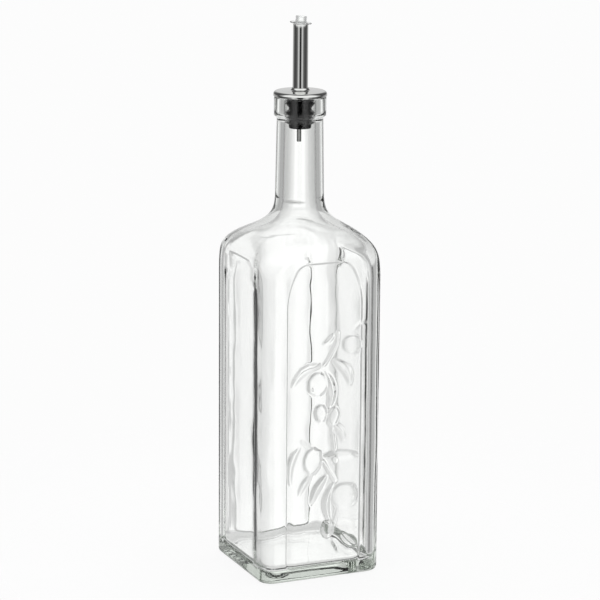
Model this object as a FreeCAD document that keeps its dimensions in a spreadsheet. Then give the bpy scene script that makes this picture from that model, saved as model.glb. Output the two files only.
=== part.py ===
import FreeCAD, Part
import math
import os
import Sketcher

# Square glass oil and vinegar bottle with a push-in steel pourer.
# Six separate pieces: the glass, the domed cap, the spout, the ribbed stopper, the vent tube and
# the plug that closes the mouth of the spout. Millimetres, +Z up, front panel towards -Y, origin
# at the centre of the base. The pieces stack on each other, so most heights are lengths of one
# piece or depths from the mouth of the glass.

SIZES = {
    # glass, outside
    "body_width": 80.0,             # across the flats
    "body_height": 186.0,           # upright part, up to where the shoulder begins
    "corner_radius": 9.0,
    "heel_radius": 2.6,             # round between the sides and the base
    "shoulder_height": 47.0,
    "flat_turn_height": 30.6,       # above the body: half-way down the bell curve of the flats
    "flat_turn_spread": 3.75,
    "ridge_turn_height": 27.6,      # the same for the corner ridges, which turn in earlier
    "ridge_turn_spread": 4.25,
    "neck_root_radius": 14.75,      # what the bell curves run out to
    "neck_top_radius": 14.2,
    "neck_height": 51.3,
    "lip_height": 11.7,
    "lip_overhang": 1.75,
    "lip_chamfer": 0.9,
    "lip_round": 1.1,
    # glass, inside
    "wall": 3.6,
    "inner_corner_radius": 7.0,
    "floor_thickness": 6.5,
    "floor_round": 5.5,
    "shoulder_drop": 2.2,           # how far the inner shoulder lies below the outer one
    "bore_root_radius": 10.3,
    "mouth_radius": 9.25,
    "mouth_chamfer": 0.55,
    "push_up_margin": 15.0,         # flat ring that the bottle stands on, round the shallow dome
    "push_up_rise": 1.6,
    # arched panels sunk into the four sides
    "panel_depth": 1.0,
    "panel_margin": 15.0,           # from the side of the body to the side of the panel
    "panel_bottom": 8.7,
    "panel_foot_radius": 4.0,
    "arch_fall": 14.0,              # the arch leaves the straight sides this far below the shoulder
    "arch_rise": 14.0,              # and ends this far above its start
    "arch_run": 14.0,               # sideways run of each curved part
    "arch_top_radius": 9.0,
    # domed cap of the pourer
    "cap_overhang": 0.5,            # past the lip
    "cap_rim_height": 3.1,
    "cap_edge_round": 2.0,
    "cap_under_round": 0.4,
    "cap_crown": 3.5,               # height of the dome where the collar leaves it
    "collar_sweep": 1.3,            # radius of the hollow curve up to the collar
    "collar_height": 5.0,
    "collar_wall": 0.45,
    # spout
    "spout_radius": 4.75,
    "spout_taper": 0.15,
    "spout_wall": 0.9,
    "spout_depth": 10.0,            # below the mouth of the glass
    "spout_reach": 43.8,            # above it
    "spout_edge_chamfer": 0.2,
    # stopper
    "stopper_depth": 19.45,
    "stopper_wall": 2.2,            # round the spout
    "stopper_collar_height": 1.9,
    "top_fin_depth": 3.8,
    "fin_pitch": 5.5,
    "fin_root_above": 1.7,          # from a fin's tip up to its upper root
    "fin_root_below": 3.3,
    "fin_tip_thickness": 0.4,
    "end_bead_height": 1.7,         # bead round the stopper's lower end, with a groove above it
    "end_bead_taper": 0.3,
    "end_groove_depth": 0.8,
    "end_groove_rise": 0.35,
    # vent tube
    "vent_radius": 1.5,
    "vent_bore_radius": 1.0,
    "vent_drop": 8.8,               # below the stopper
    "vent_headroom": 5.8,           # from its top to the plug
    # plug in the mouth of the spout
    "plug_length": 6.0,
    "plug_taper": 0.5,
    "plug_floor": 1.0,
    "brim_overhang": 2.0,
    "brim_thickness": 0.6,
    "knob_radius": 3.4,
    "knob_wall": 0.9,
    "knob_height": 4.2,
    "knob_round": 0.3,
    # clearances
    "fin_clearance": 0.25,          # fins and collar to the bore
    "tube_clearance": 0.1,          # spout to the stopper and the cap, vent tube to the spout
    "plug_clearance": 0.3,
}
SHOULDER_STEPS = 10
FIN_COUNT = 3
CIRCLE_STEP = 0.1                   # half of each short edge of a circle cut in eight, of its radius
VENT_ANGLE = 82.0                   # plan angle of the vent tube, degrees
PLUG_TILT = 5.0                     # the plug sits a little askew
PLUG_TILT_AXIS = FreeCAD.Vector(0.4, 0.92, 0)

os.makedirs("parts", exist_ok=True)
doc = FreeCAD.newDocument("OilBottle")


class Dim:
    """A size and the spreadsheet expression that gives it, kept together through arithmetic."""

    def __init__(self, value, text):
        self.value = float(value)
        self.text = text

    def __add__(self, other):
        other = dim(other)
        return Dim(self.value + other.value, f"({self.text} + {other.text})")

    def __sub__(self, other):
        other = dim(other)
        return Dim(self.value - other.value, f"({self.text} - {other.text})")

    def __mul__(self, other):
        other = dim(other)
        return Dim(self.value * other.value, f"{self.text} * {other.text}")

    def __truediv__(self, other):
        other = dim(other)
        return Dim(self.value / other.value, f"({self.text} / ({other.text}))")

    def __neg__(self):
        return Dim(-self.value, f"(-1 * {self.text})")

    def __radd__(self, other):
        return dim(other) + self

    def __rsub__(self, other):
        return dim(other) - self

    def __rmul__(self, other):
        return dim(other) * self


def dim(number):
    return number if isinstance(number, Dim) else Dim(number, repr(float(number)))


def exp(power):
    return Dim(math.exp(power.value), f"exp({power.text})")


def sqrt(square):
    return Dim(math.sqrt(square.value), f"sqrt({square.text})")


def fill_sheet():
    """Write the driving sizes to the sheet and return each as a bound Dim by its alias."""
    sheet = doc.addObject("Spreadsheet::Sheet", "Sizes")
    bound = {}
    for row, (alias, value) in enumerate(SIZES.items(), start=1):
        sheet.set(f"A{row}", alias)
        sheet.set(f"B{row}", str(value))
        sheet.setAlias(f"B{row}", alias)
        bound[alias] = Dim(value, f"Sizes.{alias}")
    doc.recompute()
    return bound


size = fill_sheet()
zero = dim(0)

# heights and radii that several pieces share
shoulder_start = size["body_height"]
shoulder_end = shoulder_start + size["shoulder_height"]
lip_bottom = shoulder_end + size["neck_height"]
mouth = lip_bottom + size["lip_height"]
lip_radius = size["neck_top_radius"] + size["lip_overhang"]
spout_bottom = mouth - size["spout_depth"]
spout_top = mouth + size["spout_reach"]
spout_tip_radius = size["spout_radius"] - size["spout_taper"]
stopper_bottom = mouth - size["stopper_depth"]


# ---- sketches -------------------------------------------------------------------------------

def new_body(label):
    body = doc.addObject("PartDesign::Body", label)
    body.Label = label
    return body


def origin_feature(body, role):
    """One of the planes or axes of the body's own origin."""
    return next(f for f in body.Origin.OriginFeatures if f.Role == role)


def new_sketch(body, role, name, offset=zero):
    """A sketch on one of the body's own origin planes, moved along the plane's normal."""
    sketch = body.newObject("Sketcher::SketchObject", name)
    sketch.AttachmentSupport = [(origin_feature(body, role), "")]
    sketch.MapMode = "FlatFace"
    sketch.AttachmentOffset = FreeCAD.Placement(
        FreeCAD.Vector(0, 0, offset.value), FreeCAD.Rotation())
    sketch.setExpression("AttachmentOffset.Base.z", offset.text)
    return sketch


def bind(sketch, constraint, size_dim):
    index = sketch.addConstraint(constraint)
    sketch.setExpression(f"Constraints[{index}]", size_dim.text)


def point_of(pair):
    return FreeCAD.Vector(pair[0].value, pair[1].value, 0)


def draw_arc(sketch, start, end, centre, radius):
    """The short way round the centre from start to end. Returns the arc's point number at start."""
    c = point_of(centre)
    a = point_of(start) - c
    b = point_of(end) - c
    angle_a = math.atan2(a.y, a.x)
    angle_b = math.atan2(b.y, b.x)
    anticlockwise = (angle_b - angle_a) % (2 * math.pi) <= math.pi
    first, last = (angle_a, angle_b) if anticlockwise else (angle_b, angle_a)
    circle = Part.Circle(c, FreeCAD.Vector(0, 0, 1), radius.value)
    sketch.addGeometry(Part.ArcOfCircle(circle, first, last), False)
    return 1 if anticlockwise else 2


def draw_outline(sketch, corners, arcs=None):
    """Closed outline through the corners, each tied to its place. arcs gives the centre and radius
    of the round stretch that starts from a corner, by that corner's number."""
    arcs = arcs or {}
    count = len(corners)
    starts = []
    for i, corner in enumerate(corners):
        following = corners[(i + 1) % count]
        if i in arcs:
            starts.append(draw_arc(sketch, corner, following, *arcs[i]))
        else:
            sketch.addGeometry(Part.LineSegment(point_of(corner), point_of(following)), False)
            starts.append(1)
    for i, (x, y) in enumerate(corners):
        before = (i - 1) % count
        sketch.addConstraint(
            Sketcher.Constraint("Coincident", before, 3 - starts[before], i, starts[i]))
        bind(sketch, Sketcher.Constraint("DistanceX", i, starts[i], x.value), x)
        bind(sketch, Sketcher.Constraint("DistanceY", i, starts[i], y.value), y)
    for i, (centre, radius) in arcs.items():
        bind(sketch, Sketcher.Constraint("Radius", i, radius.value), radius)


def eight_corners(far, near):
    """The ends of the four sides of a square outline, anticlockwise: each is far from the centre
    along one axis and near it along the other."""
    corners = []
    for i, (sx, sy) in enumerate([(1, 1), (-1, 1), (-1, -1), (1, -1)]):
        on_side = (sx * far, sy * near)
        on_end = (sx * near, sy * far)
        corners += [on_side, on_end] if i % 2 == 0 else [on_end, on_side]
    return corners


def rounded_square(half, radius):
    near = half - radius
    centres = [(near, near), (-near, near), (-near, -near), (near, -near)]
    arcs = {2 * i: (centre, radius) for i, centre in enumerate(centres)}
    return eight_corners(half, near), arcs


def cut_circle(radius):
    """A circle in the same eight edges as a rounded square, so that one can be lofted to the other."""
    near = radius * CIRCLE_STEP
    far = radius * math.sqrt(1 - CIRCLE_STEP ** 2)
    return eight_corners(far, near), {i: ((zero, zero), radius) for i in range(8)}


# ---- features -------------------------------------------------------------------------------

def turn(body, name, corners, arcs=None, kind="PartDesign::Revolution"):
    """Turn an outline in the XZ plane round the body's axis, to add material or to cut it."""
    sketch = new_sketch(body, "XZ_Plane", name + "Outline")
    draw_outline(sketch, corners, arcs)
    feature = body.newObject(kind, name)
    feature.Profile = sketch
    feature.ReferenceAxis = (sketch, ["V_Axis"])
    feature.Angle = 360.0
    doc.recompute()
    return feature


def level_edges(shape, height):
    """Names of the edges that lie flat at this height."""
    names = []
    for i, edge in enumerate(shape.Edges, start=1):
        box = edge.BoundBox
        if max(abs(box.ZMin - height), abs(box.ZMax - height)) < 1e-4:
            names.append(f"Edge{i}")
    return names


def round_level_edges(body, name, base, height, radius):
    fillet = body.newObject("PartDesign::Fillet", name)
    fillet.Base = (base, level_edges(base.Shape, height.value))
    fillet.setExpression("Radius", radius.text)
    doc.recompute()
    return fillet


def bell(rise, low, high, middle, spread):
    """Falls from high to low as the side of a bell does, steepest at the middle."""
    return low + (high - low) / (1 + exp((rise - middle) / spread))


def shoulder_section(rise, half, corner_radius, neck, drop):
    """Outline of the shoulder at one height above its start: a rounded square that becomes a
    circle. The flats hold their width longer than the corner ridges do."""
    diagonal = math.sqrt(2)
    full_ridge = diagonal * (half - corner_radius) + corner_radius
    flat = bell(rise + drop, neck, half, size["flat_turn_height"], size["flat_turn_spread"])
    ridge = bell(rise + drop, neck, full_ridge, size["ridge_turn_height"], size["ridge_turn_spread"])
    if ridge.value < flat.value * 1.01:
        return cut_circle(flat)
    return rounded_square(flat, (diagonal * flat - ridge) / (diagonal - 1))


def loft_shoulder(body, name, kind, half, corner_radius, neck, drop, end_radius):
    """Loft from the square body to the round neck through evenly spaced level sections."""
    sections = []
    for i in range(SHOULDER_STEPS + 1):
        rise = size["shoulder_height"] * (i / SHOULDER_STEPS)
        sketch = new_sketch(body, "XY_Plane", f"{name}Section{i}", shoulder_start + rise)
        if i == 0:
            draw_outline(sketch, *rounded_square(half, corner_radius))
        elif i == SHOULDER_STEPS:
            draw_outline(sketch, *cut_circle(end_radius))
        else:
            draw_outline(sketch, *shoulder_section(rise, half, corner_radius, neck, drop))
        sections.append(sketch)
    loft = body.newObject(kind, name)
    loft.Profile = sections[0]
    loft.Sections = sections[1:]
    loft.Ruled = False
    doc.recompute()
    return loft


# ---- glass ----------------------------------------------------------------------------------

def panel_outline(half):
    """Arch-topped panel: straight sides, long easy curves up to a short straight top."""
    side = half - size["panel_margin"]
    bottom = size["panel_bottom"]
    foot = size["panel_foot_radius"]
    run = size["arch_run"]
    small = size["arch_top_radius"]
    spring = shoulder_start - size["arch_fall"]
    top = shoulder_start + size["arch_rise"]
    rise = top - spring
    flat = side - run
    # the long arc is tangent to the straight side and to the small arc beside the top
    long_radius = (run * run + rise * rise - 2 * rise * small) / (2 * (run - small))
    long_centre = side - long_radius
    # the two arcs touch on the line through their centres
    centre_gap = long_radius - small
    touch_x = flat + small * (flat - long_centre) / centre_gap
    touch_z = top - small + small * (rise - small) / centre_gap
    right = [
        (side - foot, bottom), (side, bottom + foot), (side, spring),
        (touch_x, touch_z), (flat, top),
    ]
    left = [(-x, z) for x, z in reversed(right)]
    arcs = {
        0: ((side - foot, bottom + foot), foot),
        2: ((long_centre, spring), long_radius),
        3: ((flat, top - small), small),
        5: ((-flat, top - small), small),
        6: ((-long_centre, spring), long_radius),
        8: ((foot - side, bottom + foot), foot),
    }
    return right + left, arcs


def add_outside(body, half):
    """Square block with its heel, the shoulder, and the neck with its lip ring."""
    outline = new_sketch(body, "XY_Plane", "BodyOutline")
    draw_outline(outline, *rounded_square(half, size["corner_radius"]))
    block = body.newObject("PartDesign::Pad", "BodyBlock")
    block.Profile = outline
    block.setExpression("Length", shoulder_start.text)
    doc.recompute()
    round_level_edges(body, "Heel", block, zero, size["heel_radius"])

    neck_root = size["neck_root_radius"]
    neck_foot = bell(size["shoulder_height"], neck_root, half,
                     size["flat_turn_height"], size["flat_turn_spread"])
    loft_shoulder(body, "Shoulder", "PartDesign::AdditiveLoft", half, size["corner_radius"],
                  neck_root, zero, neck_foot)
    edge = size["lip_round"]
    turn(body, "Neck", [
        (zero, shoulder_end), (neck_foot, shoulder_end),
        (size["neck_top_radius"], lip_bottom - size["lip_chamfer"]), (lip_radius, lip_bottom),
        (lip_radius, mouth - edge), (lip_radius - edge, mouth), (zero, mouth),
    ], {4: ((lip_radius - edge, mouth - edge), edge)})


def cut_inside(body, half):
    """Hollow of the body with its rounded floor, the hollow shoulder and the bore of the neck."""
    inner_half = half - size["wall"]
    inner_corner = size["inner_corner_radius"]
    floor = size["floor_thickness"]
    outline = new_sketch(body, "XY_Plane", "HollowOutline", shoulder_start)
    draw_outline(outline, *rounded_square(inner_half, inner_corner))
    hollow = body.newObject("PartDesign::Pocket", "Hollow")
    hollow.Profile = outline
    hollow.setExpression("Length", (shoulder_start - floor).text)
    doc.recompute()
    round_level_edges(body, "FloorRound", hollow, floor, size["floor_round"])

    bore = size["bore_root_radius"]
    loft_shoulder(body, "HollowShoulder", "PartDesign::SubtractiveLoft", inner_half, inner_corner,
                  bore, size["shoulder_drop"], bore)
    bore_top = size["mouth_radius"]
    edge = size["mouth_chamfer"]
    turn(body, "Bore", [
        (zero, shoulder_end), (bore, shoulder_end), (bore_top, mouth - edge),
        (bore_top + edge, mouth), (zero, mouth),
    ], kind="PartDesign::Groove")


def make_bottle():
    body = new_body("bottle")
    half = size["body_width"] / 2
    add_outside(body, half)
    cut_inside(body, half)

    # shallow dome under the base
    rise = size["push_up_rise"]
    reach = half - size["push_up_margin"]
    dome_radius = (reach * reach + rise * rise) / (2 * rise)
    turn(body, "PushUp", [(zero, zero), (reach, zero), (zero, rise)],
         {1: ((zero, rise - dome_radius), dome_radius)}, kind="PartDesign::Groove")

    # four arched panels
    panel_sketch = new_sketch(body, "XZ_Plane", "PanelOutline", half)
    draw_outline(panel_sketch, *panel_outline(half))
    panel = body.newObject("PartDesign::Pocket", "Panel")
    panel.Profile = panel_sketch
    panel.setExpression("Length", size["panel_depth"].text)
    doc.recompute()
    panels = body.newObject("PartDesign::PolarPattern", "Panels")
    panels.Originals = [panel]
    panels.Axis = (origin_feature(body, "Z_Axis"), [""])
    panels.Angle = 360.0
    panels.Occurrences = 4
    body.Tip = panels
    doc.recompute()
    return body


# ---- pourer ---------------------------------------------------------------------------------

def between(height, low, high, low_value, high_value):
    """The value at a height on a straight taper."""
    return low_value + (high_value - low_value) * ((height - low) / (high - low))


def bore_radius_at(height):
    """The neck's bore, which narrows evenly up to the mouth."""
    return between(height, shoulder_end, mouth, size["bore_root_radius"], size["mouth_radius"])


def make_dome_cap():
    """Spun dome that rests on the lip, drawn up into a collar round the spout."""
    body = new_body("dome_cap")
    rim = lip_radius + size["cap_overhang"]
    edge = size["cap_edge_round"]
    under = size["cap_under_round"]
    rim_top = mouth + size["cap_rim_height"]
    crown = mouth + size["cap_crown"]
    spout_here = between(mouth, spout_bottom, spout_top, size["spout_radius"], spout_tip_radius)
    hole = spout_here + size["tube_clearance"]
    collar = hole + size["collar_wall"]
    collar_top = mouth + size["collar_height"]
    sweep = size["collar_sweep"]
    foot = collar + sweep
    # the dome's arc is level on the axis and runs from the foot of the collar to the rim
    inset = rim - edge
    fall = crown - rim_top
    dome_radius = (inset * inset - foot * foot + fall * fall) / (2 * fall)
    dome_centre = crown - sqrt(dome_radius * dome_radius - foot * foot)
    turn(body, "Dome", [
        (hole, mouth), (rim - under, mouth), (rim, mouth + under), (rim, rim_top - edge),
        (inset, rim_top), (foot, crown),
        (collar, crown + sweep), (collar, collar_top), (hole, collar_top),
    ], {
        1: ((rim - under, mouth + under), under),
        3: ((inset, rim_top - edge), edge),
        4: ((zero, dome_centre), dome_radius),
        5: ((foot, crown + sweep), sweep),
    })
    return body


def make_spout():
    """Straight steel tube, from its seat in the stopper through the cap to the pouring mouth."""
    body = new_body("spout")
    outer = size["spout_radius"]
    wall = size["spout_wall"]
    edge = size["spout_edge_chamfer"]
    turn(body, "Tube", [
        (outer - wall, spout_bottom), (outer, spout_bottom),
        (spout_tip_radius, spout_top - edge), (spout_tip_radius - edge, spout_top),
        (spout_tip_radius - wall + edge, spout_top), (spout_tip_radius - wall, spout_top - edge),
    ])
    return body


def make_stopper():
    """Soft stopper with barbed fins that grip the bore; the spout stands on its inner ledge."""
    body = new_body("stopper")
    socket = size["spout_radius"] + size["tube_clearance"]
    passage = size["spout_radius"] - size["spout_wall"]
    core = socket + size["stopper_wall"]
    clearance = size["fin_clearance"]
    half_tip = size["fin_tip_thickness"] / 2
    collar_bottom = mouth - size["stopper_collar_height"]
    collar = size["mouth_radius"] - clearance
    outside = [(collar, mouth), (collar, collar_bottom + half_tip), (core, collar_bottom)]
    for i in range(FIN_COUNT):
        tip_height = mouth - size["top_fin_depth"] - size["fin_pitch"] * i
        tip = bore_radius_at(tip_height) - clearance
        if i:
            outside.append((core, tip_height + size["fin_pitch"] - size["fin_root_below"]))
        outside += [
            (core, tip_height + size["fin_root_above"]), (tip, tip_height + half_tip),
            (tip, tip_height - half_tip),
        ]
    # the last fin runs down into the groove over the end bead
    bead_top = stopper_bottom + size["end_bead_height"]
    outside += [
        (core - size["end_groove_depth"], bead_top + size["end_groove_rise"]), (core, bead_top),
        (core - size["end_bead_taper"], stopper_bottom),
    ]
    inside = [
        (passage, stopper_bottom), (passage, spout_bottom), (socket, spout_bottom),
        (socket, mouth),
    ]
    turn(body, "Fins", outside + inside)
    return body


def make_vent_tube():
    """Thin air tube beside the oil's way, from below the stopper up into the spout."""
    body = new_body("vent_tube")
    inner = size["vent_bore_radius"]
    outer = size["vent_radius"]
    bottom = stopper_bottom - size["vent_drop"]
    top = spout_top - size["plug_length"] - size["vent_headroom"]
    turn(body, "Tube", [(inner, bottom), (outer, bottom), (outer, top), (inner, top)])
    # against the wall of the spout, so that the oil runs past on the other side
    offset = spout_tip_radius - size["spout_wall"] - size["tube_clearance"] - outer
    angle = math.radians(VENT_ANGLE)
    body.setExpression("Placement.Base.x", (offset * math.cos(angle)).text)
    body.setExpression("Placement.Base.y", (offset * math.sin(angle)).text)
    doc.recompute()
    return body


def make_tip_cap():
    """Thin hollow plug with a brim, drawn about the middle of its brim's underside."""
    body = new_body("tip_cap")
    plug = spout_tip_radius - size["spout_wall"] - size["plug_clearance"]
    length = size["plug_length"]
    brim = spout_tip_radius + size["brim_overhang"]
    thick = size["brim_thickness"]
    knob = size["knob_radius"]
    knob_top = size["knob_height"]
    edge = size["knob_round"]
    hollow = knob - size["knob_wall"]
    floor = size["plug_floor"] - length
    turn(body, "Hat", [
        (zero, -length), (plug - size["plug_taper"], -length), (plug, zero), (brim, zero),
        (brim, thick), (knob, thick), (knob, knob_top - edge), (knob - edge, knob_top),
        (hollow, knob_top), (hollow, floor), (zero, floor),
    ], {6: ((knob - edge, knob_top - edge), edge)})
    # askew, it rests on one side of the spout's edge
    seat = spout_top + spout_tip_radius * math.tan(math.radians(PLUG_TILT))
    body.Placement = FreeCAD.Placement(
        FreeCAD.Vector(0, 0, seat.value), FreeCAD.Rotation(PLUG_TILT_AXIS, PLUG_TILT))
    body.setExpression("Placement.Base.z", seat.text)
    doc.recompute()
    return body


# ---- build, check and export ----------------------------------------------------------------

pieces = [
    make_bottle(),
    make_dome_cap(),
    make_spout(),
    make_stopper(),
    make_vent_tube(),
    make_tip_cap(),
]
doc.recompute()

for item in doc.Objects:
    if "Invalid" in item.State or "Error" in item.State:
        raise RuntimeError(f"{item.Label} failed: {item.State}")
for piece in pieces:
    if piece.Shape.isNull() or not piece.Shape.isValid() or len(piece.Shape.Solids) != 1:
        raise RuntimeError(f"{piece.Label} is not one valid solid")
    print(f"{piece.Label:10s} volume {piece.Shape.Volume:12.1f} mm3  faces {len(piece.Shape.Faces)}")
for piece in pieces:
    piece.Shape.exportStep(f"parts/{piece.Label}.step")
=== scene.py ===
import math

import bmesh
import bpy
import numpy as np
from mathutils import Matrix, Vector


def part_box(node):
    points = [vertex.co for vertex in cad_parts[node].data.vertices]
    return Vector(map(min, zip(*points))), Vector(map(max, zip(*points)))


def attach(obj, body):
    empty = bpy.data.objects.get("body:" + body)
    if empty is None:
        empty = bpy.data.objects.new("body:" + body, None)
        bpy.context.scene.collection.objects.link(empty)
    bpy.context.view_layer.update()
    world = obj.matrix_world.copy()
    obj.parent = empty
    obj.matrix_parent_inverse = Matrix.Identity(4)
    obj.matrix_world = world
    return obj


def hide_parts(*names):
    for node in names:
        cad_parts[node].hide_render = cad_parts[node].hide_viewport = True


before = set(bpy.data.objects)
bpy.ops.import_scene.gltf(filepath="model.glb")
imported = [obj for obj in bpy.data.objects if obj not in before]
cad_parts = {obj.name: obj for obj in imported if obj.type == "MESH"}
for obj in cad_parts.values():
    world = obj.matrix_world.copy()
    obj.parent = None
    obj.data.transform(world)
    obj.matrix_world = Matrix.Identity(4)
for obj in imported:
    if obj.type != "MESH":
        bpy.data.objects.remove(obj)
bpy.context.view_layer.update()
scene = bpy.context.scene
mm = 0.001


def addNode(tree, kind, **settings):
    node = tree.nodes.new(kind)
    for name, value in settings.items():
        setattr(node, name, value)
    return node


def feed(tree, socket, value):  # a link when value is a socket, else a plain number
    if isinstance(value, bpy.types.NodeSocket):
        tree.links.new(value, socket)
    elif value is not None:
        socket.default_value = value


def setInputs(tree, node, values):
    for label, value in values.items():
        feed(tree, node.inputs[label], value)


def calc(tree, operation, a, b=None, c=None):
    node = addNode(tree, "ShaderNodeMath", operation=operation)
    for socket, value in zip(node.inputs, (a, b, c)):
        feed(tree, socket, value)
    return node.outputs[0]


def times(tree, a, b):
    return calc(tree, "MULTIPLY", a, b)


def plus(tree, a, b):
    return calc(tree, "ADD", a, b)


def minus(tree, a, b):
    return calc(tree, "SUBTRACT", a, b)


def softStep(tree, value, start, end):  # eases from 0 at start to 1 at end
    node = addNode(tree, "ShaderNodeMapRange", interpolation_type="SMOOTHSTEP")
    setInputs(tree, node, {"Value": value, "From Min": start, "From Max": end})
    return node.outputs[0]


def split(tree, vector):
    node = addNode(tree, "ShaderNodeSeparateXYZ")
    feed(tree, node.inputs[0], vector)
    return node.outputs


def join(tree, x, y, z):
    node = addNode(tree, "ShaderNodeCombineXYZ")
    for socket, value in zip(node.inputs, (x, y, z)):
        feed(tree, socket, value)
    return node.outputs[0]


def newTree(name, inputs):
    tree = bpy.data.node_groups.new(name, "GeometryNodeTree")
    tree.is_modifier = True
    tree.interface.new_socket("Geometry", in_out="INPUT", socket_type="NodeSocketGeometry")
    for label, (kind, value) in inputs.items():
        socket = tree.interface.new_socket(label, in_out="INPUT", socket_type=kind)
        if value is not None:
            socket.default_value = value
    tree.interface.new_socket("Geometry", in_out="OUTPUT", socket_type="NodeSocketGeometry")
    given = addNode(tree, "NodeGroupInput").outputs
    return tree, given


def finishTree(tree, geometry, material):  # instances made real, then the finish
    real = addNode(tree, "GeometryNodeRealizeInstances")
    smooth = addNode(tree, "GeometryNodeSetShadeSmooth")
    paint = addNode(tree, "GeometryNodeSetMaterial")
    end = addNode(tree, "NodeGroupOutput")
    feed(tree, real.inputs[0], geometry)
    feed(tree, smooth.inputs["Geometry"], real.outputs[0])
    setInputs(tree, paint, {"Geometry": smooth.outputs[0], "Material": material})
    feed(tree, end.inputs[0], paint.outputs[0])


def attribute(tree, name):
    node = addNode(tree, "GeometryNodeInputNamedAttribute", data_type="FLOAT")
    node.inputs["Name"].default_value = name
    return node.outputs["Attribute"]


def storeAttribute(tree, geometry, name, value):
    node = addNode(tree, "GeometryNodeStoreNamedAttribute", data_type="FLOAT")
    setInputs(tree, node, {"Geometry": geometry, "Name": name, "Value": value})
    return node.outputs[0]


def geometryOf(tree, obj):
    info = addNode(tree, "GeometryNodeObjectInfo")
    feed(tree, info.inputs["Object"], obj)
    return info.outputs["Geometry"]


def setPosition(tree, geometry, **inputs):  # Selection, Position or Offset
    node = addNode(tree, "GeometryNodeSetPosition")
    setInputs(tree, node, {"Geometry": geometry, **inputs})
    return node.outputs[0]


def runTree(obj, tree, values):  # sets the inputs by identifier, then keeps the result as a plain mesh
    modifier = obj.modifiers.new(tree.name, "NODES")
    modifier.node_group = tree
    for item in tree.interface.items_tree:
        if item.item_type == "SOCKET" and item.in_out == "INPUT" and item.name in values:
            modifier[item.identifier] = values[item.name]
    graph = bpy.context.evaluated_depsgraph_get()
    mesh = bpy.data.meshes.new_from_object(obj.evaluated_get(graph), depsgraph=graph)
    obj.modifiers.remove(modifier)
    old = obj.data
    obj.data = mesh
    bpy.data.meshes.remove(old)
    return obj


def meshObject(name, points, edges=(), faces=(), **attributes):
    mesh = bpy.data.meshes.new(name)
    mesh.from_pydata([tuple(p) for p in points], list(edges), list(faces))
    for label, values in attributes.items():
        layer = mesh.attributes.new(label, "FLOAT", "POINT")
        layer.data.foreach_set("value", [float(v) for v in values])
    obj = bpy.data.objects.new(name, mesh)
    scene.collection.objects.link(obj)
    return obj


def faceOutwards(obj):
    shape = bmesh.new()
    shape.from_mesh(obj.data)
    bmesh.ops.recalc_face_normals(shape, faces=shape.faces)
    if shape.calc_volume(signed=True) < 0:
        bmesh.ops.reverse_faces(shape, faces=shape.faces)
    shape.to_mesh(obj.data)
    shape.free()


def declare(obj, slotName, *nodes):  # hands a finished piece to the frame
    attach(obj, "root")
    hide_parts(*nodes)
    count = sum(len(p.vertices) - 2 for p in obj.data.polygons)
    print(f"{obj.name}: {count} triangles")


def newMaterial(name):
    material = bpy.data.materials.new(name)
    material.use_nodes = True
    tree = material.node_tree
    shader = tree.nodes["Principled BSDF"]
    where = addNode(tree, "ShaderNodeTexCoord").outputs["Object"]
    return material, tree, shader, where


def noise(tree, where, scale, detail=2.0, roughness=0.5):
    node = addNode(tree, "ShaderNodeTexNoise")
    setInputs(tree, node, {"Vector": where, "Scale": scale, "Detail": detail, "Roughness": roughness})
    return node.outputs[0]


def addBump(tree, shader, height, strength, distance):
    bump = addNode(tree, "ShaderNodeBump")
    setInputs(tree, bump, {"Height": height, "Strength": strength, "Distance": distance})
    tree.links.new(bump.outputs["Normal"], shader.inputs["Normal"])


def spread(tree, value, low, high):  # value 0 to 1 becomes low to high
    node = addNode(tree, "ShaderNodeMapRange")
    setInputs(tree, node, {"Value": value, "To Min": low, "To Max": high})
    return node.outputs[0]


def mixColour(tree, factor, first, second):
    node = addNode(tree, "ShaderNodeMix", data_type="RGBA")
    setInputs(tree, node, {"Factor": factor, "A": first, "B": second})
    return node.outputs["Result"]


clearGlass = {
    "tint": (0.99, 0.992, 0.989, 1), "ior": 1.52,
    "absorb": (0.64, 0.71, 0.63, 1), "absorbDensity": 10.0,
    "waveSize": 55.0, "waveStretch": 0.35, "waveDepth": 0.03 * mm,
    "hazeSize": 300.0, "haze": (0.0, 0.02),
}


def makeGlass():
    g = clearGlass
    material, tree, shader, where = newMaterial("clearGlass")
    setInputs(tree, shader, {"Base Color": g["tint"], "Transmission Weight": 1.0, "IOR": g["ior"]})
    # moulded glass is never quite even: slow waves, and a haze that varies a little
    x, y, z = split(tree, where)
    waves = noise(tree, join(tree, x, y, times(tree, z, g["waveStretch"])), g["waveSize"], 1.0)
    addBump(tree, shader, waves, 1.0, g["waveDepth"])
    feed(tree, shader.inputs["Roughness"], spread(tree, noise(tree, where, g["hazeSize"]), *g["haze"]))
    depth = addNode(tree, "ShaderNodeVolumeAbsorption")
    setInputs(tree, depth, {"Color": g["absorb"], "Density": g["absorbDensity"]})
    tree.links.new(depth.outputs[0], tree.nodes["Material Output"].inputs["Volume"])
    return material


polishedSteel = {
    # bore is painted shade: near black for the shaded inside of a tube
    "color": (0.76, 0.765, 0.75, 1), "smudged": (0.684, 0.6885, 0.675, 1), "bore": (0.05, 0.05, 0.05, 1),
    "roughness": (0.04, 0.10), "smudgeSize": 260.0,
    "lineSize": 9000.0, "lineSquash": 0.02, "lineStrength": 0.25, "lineDepth": 0.02 * mm,
}


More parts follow.
